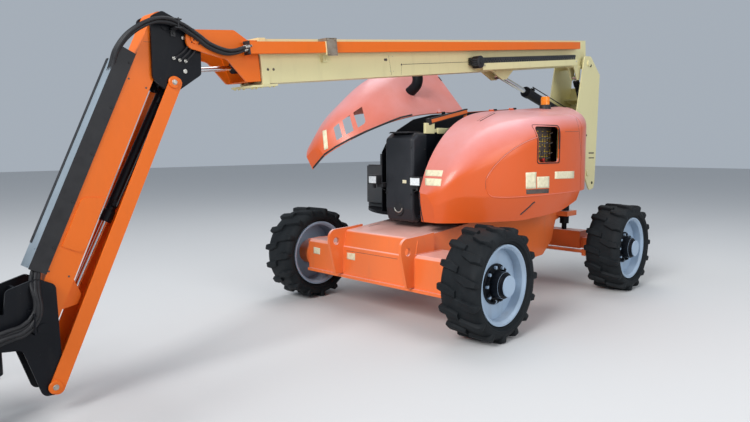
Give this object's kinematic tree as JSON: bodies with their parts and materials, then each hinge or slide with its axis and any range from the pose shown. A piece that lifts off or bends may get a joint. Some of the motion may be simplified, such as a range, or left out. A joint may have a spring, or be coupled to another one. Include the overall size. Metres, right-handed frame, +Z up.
{
  "type": "articulating boom lift",
  "caption": "Wheeled articulating boom lift: telescopic riser and boom, hinged jib with a rotating railed platform, steered axle, swinging turntable with opening hoods.",
  "frame": {"origin": "on the floor, under the turntable's swing axis, midway between the wheels", "axes": "+X towards the platform, +Y towards the side with the tanks and ground controls, +Z up"},
  "size_m": [8.3163, 2.798, 2.849],
  "materials": {
    "chassis_orange": "worn gloss",
    "boom_cream": "satin",
    "boom_orange": "gloss",
    "hood_orange": "gloss, sun-faded on top",
    "frame_black": "satin",
    "rim_silver": "satin",
    "platform_grey": "satin",
    "engine_grey": "satin",
    "rod_chrome": "mirror",
    "bearing_steel": "machined",
    "weight_iron": "painted",
    "tyre_rubber": "matte",
    "black_rubber": "satin",
    "cover_plastic": "moulded",
    "black_plastic": "moulded",
    "tray_aluminium": "satin",
    "beacon_amber": "translucent"
  },
  "bodies": {
    "chassis": {"chassis_frame": "chassis_orange", "steer_axle": "chassis_orange", "lockout_cylinders": "frame_black", "swing_bearing": "bearing_steel", "steer_barrel": "frame_black"},
    "wheel_drive_tank": {"tyre_drive_tank": "tyre_rubber", "rim_drive_tank": "rim_silver"},
    "wheel_drive_engine": {"tyre_drive_engine": "tyre_rubber", "rim_drive_engine": "rim_silver"},
    "wheel_steer_tank": {"tyre_steer_tank": "tyre_rubber", "rim_steer_tank": "rim_silver"},
    "wheel_steer_engine": {"tyre_steer_engine": "tyre_rubber", "rim_steer_engine": "rim_silver"},
    "knuckle_tank": {"knuckle_tank": "chassis_orange"},
    "knuckle_engine": {"knuckle_engine": "chassis_orange"},
    "tie_rod": {"tie_rod": "chassis_orange"},
    "steer_rod": {"steer_rod": "rod_chrome"},
    "turntable": {"turntable_frame": "frame_black", "front_cover": "cover_plastic", "work_lamps": "black_plastic", "rear_cowl": "hood_orange", "counterweight": "weight_iron", "engine": "engine_grey", "tanks": "black_plastic", "ground_controls": "black_plastic", "beacon": "beacon_amber"},
    "tank_hood": {"tank_hood": "hood_orange"},
    "engine_hood": {"engine_hood": "hood_orange", "exhaust_elbow": "frame_black"},
    "tower_base": {"tower_base": "boom_cream"},
    "tower_fly": {"tower_fly": "boom_cream"},
    "tower_barrel": {"tower_barrel": "frame_black"},
    "tower_rod": {"tower_rod": "rod_chrome"},
    "upright": {"upright": "boom_cream"},
    "main_boom": {"main_boom": "boom_cream", "cable_track": "black_plastic"},
    "lift_barrel": {"lift_barrel": "frame_black"},
    "lift_rod": {"lift_rod": "rod_chrome"},
    "master_barrel": {"master_barrel": "frame_black"},
    "master_rod": {"master_rod": "rod_chrome"},
    "fly_boom": {"fly_boom": "boom_orange", "push_tube": "boom_orange"},
    "slave_barrel": {"slave_barrel": "frame_black"},
    "slave_rod": {"slave_rod": "rod_chrome"},
    "jib_bracket": {"jib_bracket": "frame_black"},
    "jib_arm": {"jib_arm": "boom_orange", "jib_cover": "black_rubber", "jib_tray": "tray_aluminium"},
    "jib_link": {"jib_link": "boom_orange"},
    "jib_barrel": {"jib_barrel": "frame_black"},
    "jib_rod": {"jib_rod": "rod_chrome"},
    "platform_bracket": {"platform_bracket": "frame_black"},
    "platform": {"platform_support": "frame_black", "platform_frame": "platform_grey", "platform_floor": "platform_grey", "platform_console": "black_plastic"},
    "platform_gate": {"platform_gate": "platform_grey"}
  },
  "joints": [
    {"name": "swing", "type": "hinge", "parent": "chassis", "child": "turntable", "pos_m": [0, 0, 0.88], "axis": [0, 0, 1], "range_deg": [-180, 180]},
    {"name": "steer_tank", "type": "hinge", "parent": "chassis", "child": "knuckle_tank", "pos_m": [-1.22, 0.815, 0.455], "axis": [0, 0, 1], "range_deg": [-35, 35]},
    {"name": "steer_engine", "type": "hinge", "parent": "chassis", "child": "knuckle_engine", "pos_m": [-1.22, -0.815, 0.455], "axis": [0, 0, 1], "range_deg": [-35, 35]},
    {"name": "tie_rod_pivot", "type": "hinge", "parent": "knuckle_tank", "child": "tie_rod", "pos_m": [-1.02, 0.815, 0.455], "axis": [0, 0, 1], "range_deg": [-35, 35]},
    {"name": "steer_rod_slide", "type": "slide", "parent": "chassis", "child": "steer_rod", "axis": [0, -1, 0], "range_m": [-0.1, 0.1]},
    {"name": "wheel_drive_tank_spin", "type": "hinge", "parent": "chassis", "child": "wheel_drive_tank", "pos_m": [1.22, 1.095, 0.455], "axis": [0, 1, 0], "continuous": true},
    {"name": "wheel_steer_tank_spin", "type": "hinge", "parent": "knuckle_tank", "child": "wheel_steer_tank", "pos_m": [-1.22, 1.095, 0.455], "axis": [0, 1, 0], "continuous": true},
    {"name": "wheel_drive_engine_spin", "type": "hinge", "parent": "chassis", "child": "wheel_drive_engine", "pos_m": [1.22, -1.095, 0.455], "axis": [0, 1, 0], "continuous": true},
    {"name": "wheel_steer_engine_spin", "type": "hinge", "parent": "knuckle_engine", "child": "wheel_steer_engine", "pos_m": [-1.22, -1.095, 0.455], "axis": [0, 1, 0], "continuous": true},
    {"name": "tank_hood_hinge", "type": "hinge", "parent": "turntable", "child": "tank_hood", "pos_m": [0, 0.325, 1.88697], "axis": [0.9972, 0, -0.0746], "range_deg": [0, 57]},
    {"name": "engine_hood_hinge", "type": "hinge", "parent": "turntable", "child": "engine_hood", "pos_m": [0, -0.325, 1.88697], "axis": [0.9972, 0, -0.0746], "range_deg": [0, 57]},
    {"name": "tower_lift", "type": "hinge", "parent": "turntable", "child": "tower_base", "pos_m": [0.72, 0, 1.42], "axis": [0, 1, 0], "range_deg": [0, 75]},
    {"name": "tower_telescope", "type": "slide", "parent": "tower_base", "child": "tower_fly", "axis": [-0.9969, 0, -0.0784], "range_m": [0, 1.702]},
    {"name": "upright_level", "type": "hinge", "parent": "tower_fly", "child": "upright", "pos_m": [-2.33, 0, 1.18], "axis": [0, 1, 0], "range_deg": [-75, 0]},
    {"name": "tower_barrel_pivot", "type": "hinge", "parent": "turntable", "child": "tower_barrel", "pos_m": [0.64, 0, 1.01], "axis": [0, -1, 0], "range_deg": [-62.77, 0]},
    {"name": "tower_rod_slide", "type": "slide", "parent": "tower_barrel", "child": "tower_rod", "axis": [-0.993, 0, 0.1183], "range_m": [0, 0.457]},
    {"name": "main_lift", "type": "hinge", "parent": "upright", "child": "main_boom", "pos_m": [-2.27, 0, 2.56], "axis": [0, -1, 0], "range_deg": [0, 75]},
    {"name": "lift_barrel_pivot", "type": "hinge", "parent": "upright", "child": "lift_barrel", "pos_m": [-2.25, 0, 1.865], "axis": [0, -1, 0], "range_deg": [0, 59.33]},
    {"name": "lift_rod_slide", "type": "slide", "parent": "lift_barrel", "child": "lift_rod", "axis": [0.9702, 0, 0.2422], "range_m": [0, 0.637]},
    {"name": "master_barrel_pivot", "type": "hinge", "parent": "upright", "child": "master_barrel", "pos_m": [-2.33, 0.11, 2], "axis": [0, -1, 0], "range_deg": [0, 8.9]},
    {"name": "master_rod_slide", "type": "slide", "parent": "master_barrel", "child": "master_rod", "axis": [0.5176, 0, 0.8556], "range_m": [0, 0.29]},
    {"name": "telescope", "type": "slide", "parent": "main_boom", "child": "fly_boom", "axis": [0.9936, 0, -0.1132], "range_m": [0, 3.6]},
    {"name": "bracket_level", "type": "hinge", "parent": "fly_boom", "child": "jib_bracket", "pos_m": [3.175, 0, 2.225], "axis": [0, 1, 0], "range_deg": [0, 75]},
    {"name": "slave_barrel_pivot", "type": "hinge", "parent": "fly_boom", "child": "slave_barrel", "pos_m": [2.0654, 0, 2.18481], "axis": [0, -1, 0], "range_deg": [0, 7.86]},
    {"name": "slave_rod_slide", "type": "slide", "parent": "slave_barrel", "child": "slave_rod", "axis": [0.9908, 0, -0.135], "range_m": [-0.188, 0]},
    {"name": "jib_lift", "type": "hinge", "parent": "jib_bracket", "child": "jib_arm", "pos_m": [3.362, 0, 2.288], "axis": [0, -1, 0], "range_deg": [0, 130]},
    {"name": "jib_link_pivot", "type": "hinge", "parent": "jib_bracket", "child": "jib_link", "pos_m": [3.32, 0, 1.94], "axis": [0, -1, 0], "range_deg": [0, 130]},
    {"name": "jib_barrel_pivot", "type": "hinge", "parent": "jib_bracket", "child": "jib_barrel", "pos_m": [3.32, 0, 1.94], "axis": [0, -1, 0], "range_deg": [0, 127.47]},
    {"name": "jib_rod_slide", "type": "slide", "parent": "jib_barrel", "child": "jib_rod", "axis": [0.4473, 0, -0.8944], "range_m": [0, 0.632]},
    {"name": "platform_level", "type": "hinge", "parent": "jib_arm", "child": "platform_bracket", "pos_m": [4.162, 0, 0.518], "axis": [0, -1, 0], "range_deg": [-130, 0]},
    {"name": "platform_rotate", "type": "hinge", "parent": "platform_bracket", "child": "platform", "pos_m": [4.437, 0, 0.465], "axis": [0, 0, 1], "range_deg": [-90, 90]},
    {"name": "gate_swing", "type": "hinge", "parent": "platform", "child": "platform_gate", "pos_m": [5.69, -0.345, 0.8], "axis": [0, 0, 1], "range_deg": [0, 85]}
  ],
  "couplings": [
    {"joint": "steer_engine", "follows": "steer_tank", "ratio": 1},
    {"joint": "tie_rod_pivot", "follows": "steer_tank", "ratio": -1},
    {"joint": "steer_rod_slide", "follows": "steer_tank", "m_per_rad": 0.15962},
    {"joint": "tower_telescope", "follows": "tower_lift", "m_per_rad": 1.2987},
    {"joint": "upright_level", "follows": "tower_lift", "ratio": -1},
    {"joint": "tower_barrel_pivot", "follows": "tower_lift", "ratio": -0.83616},
    {"joint": "tower_rod_slide", "follows": "tower_lift", "m_per_rad": 0.34785},
    {"joint": "lift_barrel_pivot", "follows": "main_lift", "ratio": 0.79029},
    {"joint": "lift_rod_slide", "follows": "main_lift", "m_per_rad": 0.48512},
    {"joint": "master_barrel_pivot", "follows": "main_lift", "ratio": 0.11793},
    {"joint": "master_rod_slide", "follows": "main_lift", "m_per_rad": 0.22032},
    {"joint": "bracket_level", "follows": "main_lift", "ratio": 1},
    {"joint": "slave_barrel_pivot", "follows": "main_lift", "ratio": 0.104},
    {"joint": "slave_rod_slide", "follows": "main_lift", "m_per_rad": -0.1423},
    {"joint": "jib_link_pivot", "follows": "jib_lift", "ratio": 1},
    {"joint": "jib_barrel_pivot", "follows": "jib_lift", "ratio": 0.98012},
    {"joint": "jib_rod_slide", "follows": "jib_lift", "m_per_rad": 0.27792},
    {"joint": "platform_level", "follows": "jib_lift", "ratio": -1}
  ]
}
